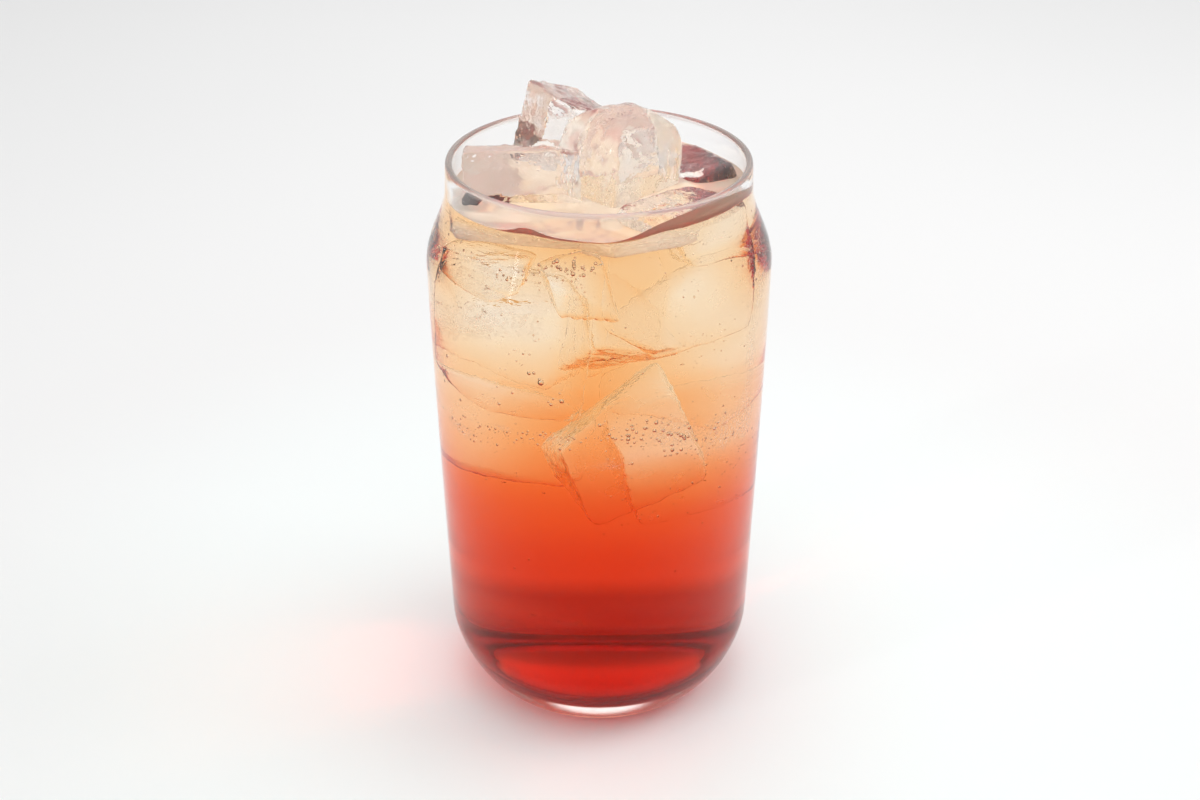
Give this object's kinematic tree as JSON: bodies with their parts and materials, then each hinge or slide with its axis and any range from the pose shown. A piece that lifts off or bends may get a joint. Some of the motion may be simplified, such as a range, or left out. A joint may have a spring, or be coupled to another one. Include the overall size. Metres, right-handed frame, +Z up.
{
  "type": "iced layered drink in a can-shaped glass",
  "caption": "Clear can-shaped tumbler filled with a layered drink, orange-red below and pale peach above, packed with clear ice blocks that stand above the rim.",
  "frame": {"origin": "centre of the foot of the glass, on the plane it stands on", "axes": "+Z up along the axis of the glass, +X to the right and +Y away from the viewer of the picture"},
  "size_m": [0.0764, 0.0764, 0.145],
  "materials": {
    "glass": "clear, smooth",
    "syrup": "clear liquid, deep orange-red",
    "soda": "clear liquid, pale orange to peach",
    "ice": "clear, wet"
  },
  "bodies": {
    "root": {"glass": "glass", "syrup_layer": "syrup", "soda_layer": "soda", "ice_peak": "ice", "ice_dome": "ice", "ice_slab": "ice", "ice_wedge": "ice", "ice_right": "ice"}
  },
  "joints": []
}
